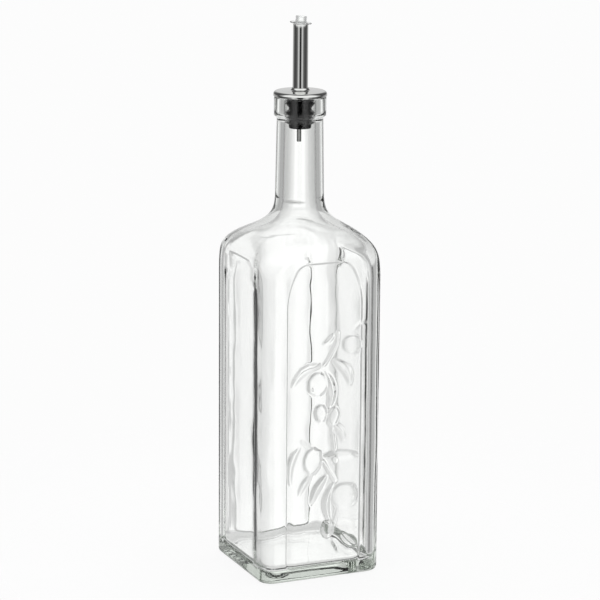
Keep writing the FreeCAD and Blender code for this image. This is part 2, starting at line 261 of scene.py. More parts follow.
def makeSteel():
    m = polishedSteel
    material, tree, shader, where = newMaterial("polishedSteel")
    shader.inputs["Metallic"].default_value = 1.0
    smudges = noise(tree, where, m["smudgeSize"], 3.0)
    feed(tree, shader.inputs["Roughness"], spread(tree, smudges, *m["roughness"]))
    # painted shade: the bore of a tube is coloured near black, standing in for the shade inside it
    bore = addNode(tree, "ShaderNodeAttribute", attribute_name="innerFace").outputs["Fac"]
    polished = mixColour(tree, smudges, m["color"], m["smudged"])
    feed(tree, shader.inputs["Base Color"], mixColour(tree, bore, polished, m["bore"]))
    # fine turning lines run round the axis, so they change quickly only along it
    x, y, z = split(tree, where)
    squashed = join(tree, times(tree, x, m["lineSquash"]), times(tree, y, m["lineSquash"]), z)
    addBump(tree, shader, noise(tree, squashed, m["lineSize"], 3.0), m["lineStrength"], m["lineDepth"])
    return material


blackRubber = {
    "color": (0.0015, 0.0015, 0.0018, 1), "worn": (0.004, 0.004, 0.0045, 1),
    "roughness": (0.09, 0.15), "gloss": 0.2, "mottleSize": 420.0,
    "grainSize": 2600.0, "grainStrength": 0.2, "grainDepth": 0.03 * mm,
}
clearPlastic = {
    "color": (0.97, 0.975, 0.97, 1), "worn": (0.93, 0.94, 0.935, 1),
    "roughness": (0.02, 0.10), "ior": 1.46, "mottleSize": 380.0,
    "grainSize": 1500.0, "grainStrength": 0.15, "grainDepth": 0.02 * mm,
}


def makeMoulded(name, look, mottleDetail):  # a moulded surface: mottled colour and sheen, fine grain
    material, tree, shader, where = newMaterial(name)
    mottle = noise(tree, where, look["mottleSize"], mottleDetail)
    feed(tree, shader.inputs["Base Color"], mixColour(tree, mottle, look["color"], look["worn"]))
    feed(tree, shader.inputs["Roughness"], spread(tree, mottle, *look["roughness"]))
    addBump(tree, shader, noise(tree, where, look["grainSize"]), look["grainStrength"], look["grainDepth"])
    return material, shader


def makeRubber():
    material, shader = makeMoulded("blackRubber", blackRubber, 4.0)
    shader.inputs["Specular IOR Level"].default_value = blackRubber["gloss"]
    return material


def makePlastic():
    material, shader = makeMoulded("clearPlastic", clearPlastic, 3.0)
    shader.inputs["Transmission Weight"].default_value = 1.0
    shader.inputs["IOR"].default_value = clearPlastic["ior"]
    return material


glassFinish = makeGlass()
steelFinish = makeSteel()
rubberFinish = makeRubber()
plasticFinish = makePlastic()
print("materials made")


weldWithin = 0.002 * mm  # closes the seams and the poles


def makeTurningTree():
    # every row of the profile is a rounded square: half its width, and its corner radius. Where
    # the two are equal it is a circle. The ring gives the plan angle of each column.
    tree, given = newTree("turnedSurface", {
        "Ring": ("NodeSocketObject", None),
        "Finish": ("NodeSocketMaterial", None),
    })
    profile = given["Geometry"]
    ring = geometryOf(tree, given["Ring"])

    def pointCount(geometry):
        node = addNode(tree, "GeometryNodeAttributeDomainSize", component="MESH")
        tree.links.new(geometry, node.inputs[0])
        return node.outputs["Point Count"]

    rowCount = pointCount(profile)
    grid = addNode(tree, "GeometryNodeMeshGrid")
    tree.links.new(pointCount(ring), grid.inputs["Vertices X"])
    tree.links.new(rowCount, grid.inputs["Vertices Y"])
    index = addNode(tree, "GeometryNodeInputIndex").outputs[0]
    column = calc(tree, "FLOOR", calc(tree, "DIVIDE", plus(tree, index, 0.5), rowCount))
    row = minus(tree, index, times(tree, column, rowCount))

    def sample(geometry, value, place):
        node = addNode(tree, "GeometryNodeSampleIndex", data_type="FLOAT")
        setInputs(tree, node, {"Geometry": geometry, "Value": attribute(tree, value), "Index": place})
        return node.outputs[0]

    half = sample(profile, "halfWidth", row)
    corner = sample(profile, "cornerRadius", row)
    height = sample(profile, "height", row)
    angle = sample(ring, "turn", column)

    cosine = calc(tree, "COSINE", angle)
    sine = calc(tree, "SINE", angle)
    alongX = calc(tree, "ABSOLUTE", cosine)
    alongY = calc(tree, "ABSOLUTE", sine)
    major = calc(tree, "MAXIMUM", alongX, alongY)
    minor = calc(tree, "MINIMUM", alongX, alongY)
    flatEnd = minus(tree, half, corner)  # half the straight part of a side
    onSide = calc(tree, "DIVIDE", half, major)
    sideways = times(tree, onSide, minor)
    toCentre = times(tree, flatEnd, plus(tree, major, minor))
    offCentre = times(tree, times(tree, flatEnd, flatEnd), 2.0)
    chord = minus(tree, times(tree, toCentre, toCentre), offCentre)
    chord = plus(tree, chord, times(tree, corner, corner))
    onCorner = plus(tree, toCentre, calc(tree, "SQRT", calc(tree, "MAXIMUM", chord, 0.0)))
    pastSide = calc(tree, "GREATER_THAN", sideways, flatEnd)
    gap = minus(tree, onCorner, onSide)
    reach = plus(tree, onSide, times(tree, gap, pastSide))

    spot = join(tree, times(tree, reach, cosine), times(tree, reach, sine), height)
    surface = setPosition(tree, grid.outputs["Mesh"], Position=spot)
    surface = storeAttribute(tree, surface, "innerFace", sample(profile, "isInner", row))
    weld = addNode(tree, "GeometryNodeMergeByDistance")
    setInputs(tree, weld, {"Geometry": surface, "Distance": weldWithin})
    finishTree(tree, weld.outputs[0], given["Finish"])
    return tree


turningTree = makeTurningTree()


def makeRing(name, turns):  # carries the plan angles; its points only have to lie apart
    return meshObject(name, [(i * mm, 0, 0) for i in range(len(turns))], turn=turns)


ringColumns = 96  # round the pieces of the pourer
fineRing = makeRing("fineRing", [2 * math.pi * i / ringColumns for i in range(ringColumns + 1)])


def turnProfile(name, rows, ring, finish, innerFrom=None):
    # rows are (half width, height, corner radius), in millimetres; a closed list makes a tube
    innerFrom = len(rows) if innerFrom is None else innerFrom
    obj = meshObject(
        name, [(w * mm, 0, z * mm) for w, z, c in rows],
        halfWidth=[w * mm for w, z, c in rows],
        cornerRadius=[c * mm for w, z, c in rows],
        height=[z * mm for w, z, c in rows],
        isInner=[float(i >= innerFrom) for i in range(len(rows))])
    runTree(obj, turningTree, {"Ring": ring, "Finish": finish})
    faceOutwards(obj)
    return obj


def roundRows(points):
    return [(r, z, r) for r, z in points]


def arcPoints(cx, cy, radius, startDeg, endDeg, steps):
    turns = np.radians(np.linspace(startDeg, endDeg, steps + 1))
    return [(cx + radius * math.cos(t), cy + radius * math.sin(t)) for t in turns]


def straight(a, b, steps):  # points from a towards b, without b
    return [(a[0] + (b[0] - a[0]) * i / steps, a[1] + (b[1] - a[1]) * i / steps) for i in range(steps)]


low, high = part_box("bottle")
glass = {
    "half": round((high.x - low.x) / 2 / mm, 1),
    "mouth": round(high.z / mm, 1),
    "bodyHeight": 186.0, "corner": 9.0, "heel": 2.6,
    "shoulder": 47.0, "flatTurn": (30.6, 3.75), "ridgeTurn": (27.6, 4.25),
    "neckRoot": 14.75, "neckTop": 14.2, "lipHeight": 11.7, "lipOverhang": 1.75,
    "lipChamfer": 0.9, "lipRound": 1.1,
    "wall": 3.6, "innerCorner": 7.0, "floor": 6.5, "floorRound": 5.5, "shoulderDrop": 2.2,
    "boreRoot": 10.3, "mouthRadius": 9.25, "mouthRound": 0.55,
    "leastCorner": 1.5,            # of the inner faces in the round of the floor
    "pushUp": 25.0, "pushUpRise": 0.3,
    "settle": 8.0,                 # the shoulder's first stretch still carries the body's own section
}
# where the surface is dense: from, to and step of the heights, and the columns across a side
sideHeights = [(3.4, 8.0, 1.5), (8.2, 10.2, 0.4), (10.6, 172.0, 0.76), (172.0, 186.0, 0.7)]
insideCount = 66
rimColumns = [22.9, 23.5, 23.9, 24.25, 24.6, 24.95, 25.3, 26.0, 27.2, 29.0]
plainColumns = (22.0, 11)
frontColumns = (22.4, 67)
panel = {
    "depth": 1.0, "half": 25.0, "bottom": 8.7, "foot": 4.0,
    "spring": 172.0, "top": 200.0, "archRun": 14.0, "topRadius": 9.0,
    "rampWidth": 0.65, "proud": 0.02,  # the mould's edge stands this far off the flat
}
press = {"rayFrom": -80.0, "rayLength": 60.0, "soften": 1, "softenWeight": 0.5}
inside = {
    "follow": 1.0,                 # how far the inner wall follows the panel inwards
    "followFade": (18.0, 28.0),    # how far from the middle of the side that starts to fade, and ends
    "followFoot": (5.0, 15.0), "followTop": (186.0, 212.0),
    "waveSize": 28.0, "waveStretch": 0.6, "waveRoughness": 0.56, "waveDepth": 0.62,
    "waveFoot": (8.0, 20.0), "waveTop": (190.0, 236.0),
}


def bell(rise, lowest, highest, middle, width):
    return lowest + (highest - lowest) / (1 + math.exp((rise - middle) / width))


def shoulderRow(rise, half, corner, neck, drop):  # half width and corner radius at one height
    diagonal = math.sqrt(2)
    flat = bell(rise + drop, neck, half, *glass["flatTurn"])
    ridge = bell(rise + drop, neck, diagonal * (half - corner) + corner, *glass["ridgeTurn"])
    return flat, max(min((diagonal * flat - ridge) / (diagonal - 1), flat), corner)


def baseRows():  # from the middle of the shallow dome out to the heel
    reach, rise = glass["pushUp"], glass["pushUpRise"]
    rows = [(r, rise * (1 - (r / reach) ** 2), r) for r in np.linspace(0, reach, 9)]
    edge = glass["half"] - glass["heel"]
    edgeCorner = glass["corner"] - glass["heel"]
    for share in (0.3, 0.6, 0.85):
        rows.append((reach + (edge - reach) * share, 0, reach + (edgeCorner - reach) * share))
    for r, z in arcPoints(edge, glass["heel"], glass["heel"], -90, 0, 7):
        rows.append((r, z, edgeCorner + r - edge))
    return rows


def sideRows():
    heights = np.concatenate([np.arange(*stretch) for stretch in sideHeights])
    return [(glass["half"], z, glass["corner"]) for z in heights]


def settledRow(rise, half, corner, neck, drop):
    flat, bend = shoulderRow(rise, half, corner, neck, drop)
    settle = min(rise / glass["settle"], 1)
    return half + (flat - half) * settle, glass["bodyHeight"] + rise, corner + (bend - corner) * settle


def outerShoulderRows():
    panelTop = panel["top"] - glass["bodyHeight"]
    beside = np.arange(0.0, panelTop + 1, 0.7)  # dense beside the arches
    above = np.arange(panelTop + 1.4, glass["shoulder"], 1.5)
    rises = np.concatenate([beside, above])
    return [settledRow(rise, glass["half"], glass["corner"], glass["neckRoot"], 0) for rise in rises]


def neckRows():
    end = glass["bodyHeight"] + glass["shoulder"]
    foot = bell(glass["shoulder"], glass["neckRoot"], glass["half"], *glass["flatTurn"])
    lipBottom = glass["mouth"] - glass["lipHeight"]
    neckEnd = (glass["neckTop"], lipBottom - glass["lipChamfer"])
    lip = glass["neckTop"] + glass["lipOverhang"]
    bevel = glass["lipRound"]
    points = straight((foot, end), neckEnd, 16)
    points += straight(neckEnd, (lip, lipBottom), 3)
    points += straight((lip, lipBottom), (lip, glass["mouth"] - bevel), 8)
    points += arcPoints(lip - bevel, glass["mouth"] - bevel, bevel, 0, 90, 6)
    inner = glass["mouthRadius"] + glass["mouthRound"]
    points += straight((lip - bevel, glass["mouth"]), (inner, glass["mouth"]), 4)[1:]
    points += arcPoints(inner, glass["mouth"] - glass["mouthRound"], glass["mouthRound"], 90, 180, 4)
    points += straight((glass["mouthRadius"], glass["mouth"] - glass["mouthRound"]),
                       (glass["boreRoot"], end), 14)[1:]
    return roundRows(points)


def insideRows():
    half = glass["half"] - glass["wall"]
    corner = glass["innerCorner"]
    rows = [settledRow(rise, half, corner, glass["boreRoot"], glass["shoulderDrop"])
            for rise in np.arange(glass["shoulder"], 0.0, -2.0)]
    bend = glass["floorRound"]
    floorTop = glass["floor"] + bend
    rows += [(half, z, corner) for z in np.linspace(glass["bodyHeight"], floorTop + 1, insideCount)]
    for r, z in arcPoints(half - bend, floorTop, bend, 0, -90, 8):
        rows.append((r, z, max(corner - (half - r), glass["leastCorner"])))
    for share in (0.75, 0.5, 0.25, 0.0):
        rows.append(((half - bend) * share, glass["floor"], glass["leastCorner"] * share))
    return rows


def glassRing():
    # columns stand where the flats and corners of the body need them, dense on the front
    edge = glass["half"] - glass["corner"]
    rim = np.array(rimColumns)
    turns = []
    for side in range(4):
        first = math.pi / 2 * side  # sides face +X, +Y, -X, -Y in turn
        reach, count = frontColumns if side == 3 else plainColumns
        across = np.concatenate([[-edge], -rim[::-1], np.linspace(-reach, reach, count), rim])
        turns += [first + math.atan2(a, glass["half"]) for a in across]
        for x, y in arcPoints(edge, edge, glass["corner"], 0, 90, 6)[:-1]:
            turns.append(first + math.atan2(y, x))
    return makeRing("glassRing", turns + [turns[0] + 2 * math.pi])


def archOutline(inset):
    # the right half from the foot up to the middle of the top; every arc keeps its centre
    side, small = panel["half"], panel["topRadius"]
    run, rise = panel["archRun"], panel["top"] - panel["spring"]
    flat = side - run
    longRadius = (run * run + rise * rise - 2 * rise * small) / (2 * (run - small))
    longCentre = side - longRadius
    meet = math.degrees(math.atan2(rise - small, flat - longCentre))
    foot = panel["foot"]
    right = arcPoints(side - foot, panel["bottom"] + foot, foot - inset, -90, 0, 8)
    right += arcPoints(longCentre, panel["spring"], longRadius - inset, 0, meet, 14)
    right += arcPoints(flat, panel["top"] - small, small - inset, meet, 90, 12)[1:]
    return right + [(-x, z) for x, z in reversed(right)]


def makePlate(name):  # floor of the panel and the ramp round it
    outer, inner = archOutline(0), archOutline(panel["rampWidth"])
    front = -glass["half"]
    count = len(outer)
    points = [(x * mm, (front - panel["proud"]) * mm, z * mm) for x, z in outer]
    points += [(x * mm, (front + panel["depth"]) * mm, z * mm) for x, z in inner]
    faces = [(i, (i + 1) % count, count + (i + 1) % count, count + i) for i in range(count)]
    faces.append(list(range(count, 2 * count)))
    return meshObject(name, points, faces=faces)


def makePressTree():
    # pushes the flats in to the mould that lies against them, and softens the pressed edges
    tree, given = newTree("pressedSides", {
        "Front mould": ("NodeSocketObject", None),
        "Side mould": ("NodeSocketObject", None),
        "Soften": ("NodeSocketInt", press["soften"]),
        "Finish": ("NodeSocketMaterial", None),
    })
    position = addNode(tree, "GeometryNodeInputPosition").outputs[0]
    x, y, z = split(tree, position)
    quarter = calc(tree, "DIVIDE", calc(tree, "ARCTAN2", x, times(tree, y, -1.0)), math.pi / 2)
    side = calc(tree, "ROUND", quarter)
    isFront = calc(tree, "COMPARE", side, 0.0, 0.1)

    def spin(vector, angle):
        node = addNode(tree, "ShaderNodeVectorRotate", rotation_type="Z_AXIS")
        feed(tree, node.inputs["Vector"], vector)
        feed(tree, node.inputs["Angle"], angle)
        return node.outputs[0]

    folded = spin(position, times(tree, side, -math.pi / 2))
    foldedX, foldedY, foldedZ = split(tree, folded)
    start = join(tree, foldedX, press["rayFrom"] * mm, foldedZ)

    def pressedDepth(mould):
        ray = addNode(tree, "GeometryNodeRaycast")
        setInputs(tree, ray, {
            "Target Geometry": geometryOf(tree, mould), "Source Position": start,
            "Ray Direction": (0, 1, 0), "Ray Length": press["rayLength"] * mm})
        hitY = split(tree, ray.outputs["Hit Position"])[1]
        inwards = calc(tree, "MAXIMUM", minus(tree, hitY, foldedY), 0.0)
        return times(tree, inwards, ray.outputs["Is Hit"])

    front = times(tree, pressedDepth(given["Front mould"]), isFront)
    others = times(tree, pressedDepth(given["Side mould"]), minus(tree, 1.0, isFront))
    surface = storeAttribute(tree, given["Geometry"], "pressed", plus(tree, front, others))
    soften = addNode(tree, "GeometryNodeBlurAttribute", data_type="FLOAT")
    setInputs(tree, soften, {
        "Value": attribute(tree, "pressed"), "Iterations": given["Soften"], "Weight": press["softenWeight"]})
    back = times(tree, side, math.pi / 2)
    # only the outside is pressed: the wall's inner face lies well behind the mould
    outside = calc(tree, "LESS_THAN", foldedY, -(glass["half"] - glass["wall"] / 2) * mm)
    push = spin(join(tree, 0.0, soften.outputs[0], 0.0), back)
    surface = setPosition(tree, surface, Selection=outside, Offset=push)

    def over(value, ends):
        return softStep(tree, value, ends[0] * mm, ends[1] * mm)

    def short(value, ends):
        return minus(tree, 1.0, over(value, ends))

    # the inner face is blown: it follows the panel softly and is never quite even
    overPanel = short(calc(tree, "ABSOLUTE", foldedX), inside["followFade"])
    overPanel = times(tree, overPanel, over(z, inside["followFoot"]))
    overPanel = times(tree, overPanel, short(z, inside["followTop"]))
    stretched = join(tree, x, y, times(tree, z, inside["waveStretch"]))
    waves = noise(tree, stretched, inside["waveSize"], 3.0, inside["waveRoughness"])
    wave = times(tree, minus(tree, waves, 0.5), inside["waveDepth"] * 2 * mm)
    wave = times(tree, wave, over(z, inside["waveFoot"]))
    wave = times(tree, wave, short(z, inside["waveTop"]))
    inwards = plus(tree, times(tree, overPanel, inside["follow"] * mm), wave)
    push = spin(join(tree, 0.0, inwards, 0.0), back)
    surface = setPosition(tree, surface, Selection=attribute(tree, "innerFace"), Offset=push)
    finishTree(tree, surface, given["Finish"])
    return tree


branch = {
    "stemRadius": 0.85, "stemLift": 0.2,
    "leafSteps": 15, "leafHighest": 0.97, "leafShift": 0.9, "leafFullness": 0.75, "leafTip": 0.03,
    "oliveRise": 0.47, "oliveLift": 0.5,
}
# a leaf's section from its steep edge to its thin edge: across, and height, both as shares of its
# half width
leafSection = [
    (-1.0, 0.0), (-0.97, 0.05), (-0.12, 0.42), (0.02, 0.40), (0.9, 0.17), (0.97, 0.15), (1.0, 0.0),
]
# leaves run from base to tip, places in millimetres on the panel: across, up. bend bows the leaf
# to its left going outwards, as a share of its length
leaves = [
    # base, tip, width, bend
    ((6.9, 155.4), (-1.6, 149.2), 3.4, 0.10),
    ((-0.9, 136.2), (-21.4, 123.4), 6.0, -0.17),
    ((0.4, 132.6), (2.4, 107.0), 6.0, 0.16),
    ((4.6, 139.0), (17.4, 121.0), 6.6, 0.20),
    ((5.4, 98.4), (13.2, 85.2), 5.4, 0.20),
    ((-14.4, 86.8), (-21.1, 60.4), 5.0, -0.16),
    ((-7.7, 68.0), (-16.6, 54.0), 4.4, -0.06),
    ((3.2, 66.6), (-8.4, 47.8), 5.2, -0.07),
    ((24.4, 76.4), (-1.2, 78.4), 6.4, -0.03),
    ((7.6, 60.4), (6.0, 35.0), 5.0, -0.18),
    ((6.2, 24.2), (10.8, 14.6), 3.0, 0.10),
    ((12.6, 28.0), (23.6, 18.0), 3.6, -0.08),
]
olives = [
    # centre, half width, half height, lean in degrees
    ((18.6, 147.6), 6.4, 5.6, 20),
    ((-4.2, 124.6), 6.6, 7.4, 0),
    ((-1.9, 106.0), 4.2, 5.4, -12),
    ((6.2, 103.6), 4.0, 5.8, 14),
    ((-7.2, 76.2), 6.0, 8.4, 4),
    ((14.5, 51.8), 9.0, 8.0, 10),
    ((3.3, 31.6), 3.6, 5.1, 0),
]
calyxes = [
    # a small cup where the stalk meets the fruit, in the same terms
    ((-8.6, 122.0), 1.9, 2.9, -12),
    ((-3.6, 79.7), 2.2, 3.2, 8),
    ((21.2, 50.4), 1.9, 3.0, 0),
]
stems = [
    [(8.8, 156.0), (8.2, 149.4), (5.0, 143.4), (1.0, 137.4), (-1.1, 135.8)],
    [(26.0, 161.6), (19.9, 157.6)],
    [(5.4, 97.9), (6.8, 88.0), (8.6, 74.0)],
    [(-15.0, 90.0), (-9.2, 84.8)],
    [(-1.1, 77.2), (3.4, 69.6), (8.4, 61.8)],
    [(10.4, 44.0), (6.4, 32.2)],
]


def bowed(base, tip, bend, steps):  # points of a leaf's middle line
    base, tip = Vector(base), Vector(tip)
    run = tip - base
    side = Vector((-run.y, run.x)) * bend
    return [base + run * t + side * 4 * t * (1 - t) for t in np.linspace(0, 1, steps)]


def pathObject(name, paths, **attributes):
    points, edges = [], []
    for path in paths:
        first = len(points)
        points += [(p[0] * mm, 0, p[1] * mm) for p in path]
        edges += [(first + i, first + i + 1) for i in range(len(path) - 1)]
    return meshObject(name, points, edges=edges, **attributes)


def meshToCurve(tree, geometry):
    node = addNode(tree, "GeometryNodeMeshToCurve")
    feed(tree, node.inputs[0], geometry)
    return node.outputs[0]


def makeLeafTree():
    # sweeps the leaf's section along each middle line, full in the middle and pointed at both ends
    tree, given = newTree("leafSweep", {
        "Section": ("NodeSocketObject", None),
        "Highest": ("NodeSocketFloat", branch["leafHighest"] * mm),
        "Finish": ("NodeSocketMaterial", None),
    })
    upright = addNode(tree, "GeometryNodeSetCurveNormal", mode="FREE")
    setInputs(tree, upright, {"Curve": meshToCurve(tree, given["Geometry"]), "Normal": (0, -1, 0)})
    along = addNode(tree, "GeometryNodeSplineParameter").outputs["Factor"]
    turn = times(tree, calc(tree, "POWER", along, branch["leafShift"]), math.pi)
    swell = calc(tree, "MAXIMUM", calc(tree, "SINE", turn), 0.0)
    swell = plus(tree, calc(tree, "POWER", swell, branch["leafFullness"]), branch["leafTip"])
    sweep = addNode(tree, "GeometryNodeCurveToMesh")
    setInputs(tree, sweep, {
        "Curve": upright.outputs[0],
        "Profile Curve": meshToCurve(tree, geometryOf(tree, given["Section"])),
        "Scale": times(tree, attribute(tree, "leafHalf"), swell)})
    x, y, z = split(tree, addNode(tree, "GeometryNodeInputPosition").outputs[0])
    lowered = calc(tree, "MAXIMUM", y, times(tree, given["Highest"], -1.0))
    pressed = setPosition(tree, sweep.outputs[0], Position=join(tree, x, lowered, z))
    finishTree(tree, pressed, given["Finish"])
    return tree


def makeLeaves(name):
    steps = branch["leafSteps"]
    lines = [bowed(base, tip, bend, steps) for base, tip, width, bend in leaves]
    halves = [width / 2 * mm for base, tip, width, bend in leaves for _ in range(steps)]
    obj = pathObject(name, lines, leafHalf=halves)
    section = meshObject("leafSection", [(up, across, 0) for across, up in leafSection],
                         edges=[(i, i + 1) for i in range(len(leafSection) - 1)])
    runTree(obj, makeLeafTree(), {
        "Section": section, "Highest": branch["leafHighest"] * mm, "Finish": glassFinish})
    bpy.data.objects.remove(section)
    obj.data.transform(Matrix.Translation((0, -(glass["half"] - panel["depth"]) * mm, 0)))
    return obj


def makeOliveTree():
    # an olive is set on every point, sized and leaned by the point's own values
    tree, given = newTree("olives", {
        "Finish": ("NodeSocketMaterial", None),
    })
    ball = addNode(tree, "GeometryNodeMeshUVSphere")
    setInputs(tree, ball, {"Segments": 40, "Rings": 24, "Radius": 1.0})
    scale = join(tree, attribute(tree, "acrossHalf"), attribute(tree, "rise"), attribute(tree, "upHalf"))
    setOn = addNode(tree, "GeometryNodeInstanceOnPoints")
    setInputs(tree, setOn, {
        "Points": given["Geometry"], "Instance": ball.outputs["Mesh"], "Scale": scale,
        "Rotation": join(tree, 0.0, attribute(tree, "lean"), 0.0)})
    finishTree(tree, setOn.outputs[0], given["Finish"])
    return tree


def makeOlives(name):
    level = -(glass["half"] - panel["depth"] + branch["oliveLift"])
    fruit = olives + calyxes
    obj = meshObject(
        name, [(x * mm, level * mm, z * mm) for (x, z), w, h, lean in fruit],
        acrossHalf=[w * mm for c, w, h, lean in fruit],
        upHalf=[h * mm for c, w, h, lean in fruit],
        rise=[branch["oliveRise"] * mm] * len(fruit),
        lean=[math.radians(lean) for c, w, h, lean in fruit])
    return runTree(obj, makeOliveTree(), {"Finish": glassFinish})


def makeStemTree():
    tree, given = newTree("stemSweep", {
        "Radius": ("NodeSocketFloat", branch["stemRadius"] * mm),
        "Finish": ("NodeSocketMaterial", None),
    })
    smooth = addNode(tree, "GeometryNodeCurveSplineType", spline_type="CATMULL_ROM")
    feed(tree, smooth.inputs["Curve"], meshToCurve(tree, given["Geometry"]))
    circle = addNode(tree, "GeometryNodeCurvePrimitiveCircle")
    setInputs(tree, circle, {"Resolution": 12, "Radius": given["Radius"]})
    tube = addNode(tree, "GeometryNodeCurveToMesh")
    setInputs(tree, tube, {
        "Curve": smooth.outputs[0], "Profile Curve": circle.outputs[0], "Fill Caps": True})
    finishTree(tree, tube.outputs[0], given["Finish"])
    return tree


def makeStems(name):
    obj = pathObject(name, stems)
    runTree(obj, makeStemTree(), {"Radius": branch["stemRadius"] * mm, "Finish": glassFinish})
    floor = -(glass["half"] - panel["depth"])
    obj.data.transform(Matrix.Translation((0, (floor + branch["stemLift"]) * mm, 0)))
    return obj


def joinMeshes(name, objects, finish):
    shape = bmesh.new()
    for obj in objects:
        shape.from_mesh(obj.data)
    mesh = bpy.data.meshes.new(name)
    shape.to_mesh(mesh)
    shape.free()
    mesh.materials.append(finish)
    for obj in objects:
        bpy.data.objects.remove(obj)
    whole = bpy.data.objects.new(name, mesh)
    scene.collection.objects.link(whole)
    return whole


def makeBottle():
    outer = baseRows() + sideRows() + outerShoulderRows() + neckRows()
    ring = glassRing()
    obj = turnProfile("glassBody", outer + insideRows(), ring, glassFinish, len(outer))
    sideMould = makePlate("sideMould")
    frontMould = joinMeshes("frontMould", [
        makePlate("plate"), makeLeaves("leaves"), makeOlives("olives"), makeStems("stems")], glassFinish)
    runTree(obj, makePressTree(), {
        "Front mould": frontMould, "Side mould": sideMould, "Soften": press["soften"],
        "Finish": glassFinish})
    faceOutwards(obj)
    for helper in (ring, sideMould, frontMould):
        bpy.data.objects.remove(helper)
    declare(obj, "clear_glass", "bottle")


makeBottle()
print("glass made")


capShape = {
    "rim": 16.45, "rimHeight": 3.1, "edge": 2.0, "under": 0.4, "crown": 3.5, "collarSweep": 1.3,
    "hole": 4.82, "collarWall": 0.45, "collarHeight": 5.0, "lip": 0.2, "burr": 0.1,
}


def makeDomeCap():
    c = capShape
    seat = glass["mouth"]
    rimTop = seat + c["rimHeight"]
    crown = seat + c["crown"]
    inset = c["rim"] - c["edge"]
    under = c["under"]
    collar = c["hole"] + c["collarWall"]
    foot = collar + c["collarSweep"]
    fall = crown - rimTop
    domeRadius = (inset ** 2 - foot ** 2 + fall ** 2) / (2 * fall)
    drop = math.sqrt(domeRadius ** 2 - foot ** 2)
    dome = [(r, crown - drop + math.sqrt(domeRadius ** 2 - r ** 2)) for r in np.linspace(inset, foot, 12)]
    top = seat + c["collarHeight"]
    points = straight((c["hole"], seat), (c["rim"] - under, seat), 6)
    points += arcPoints(c["rim"] - under, seat + under, under, -90, 0, 5)
    points += arcPoints(inset, rimTop - c["edge"], c["edge"], 0, 90, 14)
    points += dome[1:]
    points += arcPoints(foot, crown + c["collarSweep"], c["collarSweep"], -90, -180, 10)[1:]
    lip = c["lip"]
    points += [(collar, top - lip), (collar - 0.4 * lip, top - 0.3 * lip), (collar - lip, top)]
    points += [(c["hole"] + c["burr"], top), (c["hole"], top - c["burr"]), (c["hole"], seat)]
    obj = turnProfile("domeCap", roundRows(points), fineRing, steelFinish)
    declare(obj, "polished_steel", "dome_cap")


spoutShape = {"bottom": 286.0, "top": 339.8, "radius": 4.75, "tip": 4.6, "wall": 0.9, "edge": 0.2}


def makeSpout():
    s = spoutShape
    inner, innerTip = s["radius"] - s["wall"], s["tip"] - s["wall"]
    points = straight((inner, s["bottom"]), (s["radius"], s["bottom"]), 2)
    points += straight((s["radius"], s["bottom"]), (s["tip"], s["top"] - s["edge"]), 16)
    points += arcPoints(s["tip"] - s["edge"], s["top"] - s["edge"], s["edge"], 0, 90, 4)
    points += arcPoints(innerTip + s["edge"], s["top"] - s["edge"], s["edge"], 90, 180, 4)
    boreFrom = len(points)
    points += straight((innerTip, s["top"] - s["edge"]), (inner, s["bottom"]), 10)[1:]
    points.append((inner, s["bottom"]))
    obj = turnProfile("spoutTube", roundRows(points), fineRing, steelFinish, boreFrom)
    declare(obj, "polished_steel", "spout")


stopperShape = {
    "depth": 19.45, "socket": 4.85, "seatDepth": 10.0, "passage": 3.85, "core": 7.05,
    "collar": 9.0, "collarHeight": 1.9, "fins": 3, "topFin": 3.8, "pitch": 5.5,
    "rootAbove": 1.7, "rootBelow": 3.3, "lastRootBelow": 2.3, "tipRound": 0.2, "finClearance": 0.25,
    "bead": 1.7, "beadTaper": 0.3, "beadRound": 0.25, "footRound": 0.3,
    "groove": 0.8, "grooveRise": 0.35, "coreRise": 1.6,
    "ease": 0.1, "collarChamfer": 0.15, "collarEase": 0.35,
    "rootSunk": 0.3, "rootRun": 0.2, "tipSlant": 0.05,
}


def makeFinTree():
    # one fin repeated down the core, each a little wider as the bore opens
    tree, given = newTree("stopperFins", {
        "Count": ("NodeSocketInt", stopperShape["fins"] - 1),
        "Pitch": ("NodeSocketFloat", stopperShape["pitch"] * mm),
        "Widening": ("NodeSocketFloat", 0.0),
        "Finish": ("NodeSocketMaterial", None),
    })
    line = addNode(tree, "GeometryNodeMeshLine", mode="OFFSET")
    down = join(tree, 0.0, 0.0, times(tree, given["Pitch"], -1.0))
    setInputs(tree, line, {"Count": given["Count"], "Offset": down})
    number = addNode(tree, "GeometryNodeInputIndex").outputs[0]
    wide = plus(tree, times(tree, number, given["Widening"]), 1.0)
    setOn = addNode(tree, "GeometryNodeInstanceOnPoints")
    setInputs(tree, setOn, {
        "Points": line.outputs["Mesh"], "Instance": given["Geometry"], "Scale": join(tree, wide, wide, 1.0)})
    finishTree(tree, setOn.outputs[0], given["Finish"])
    return tree


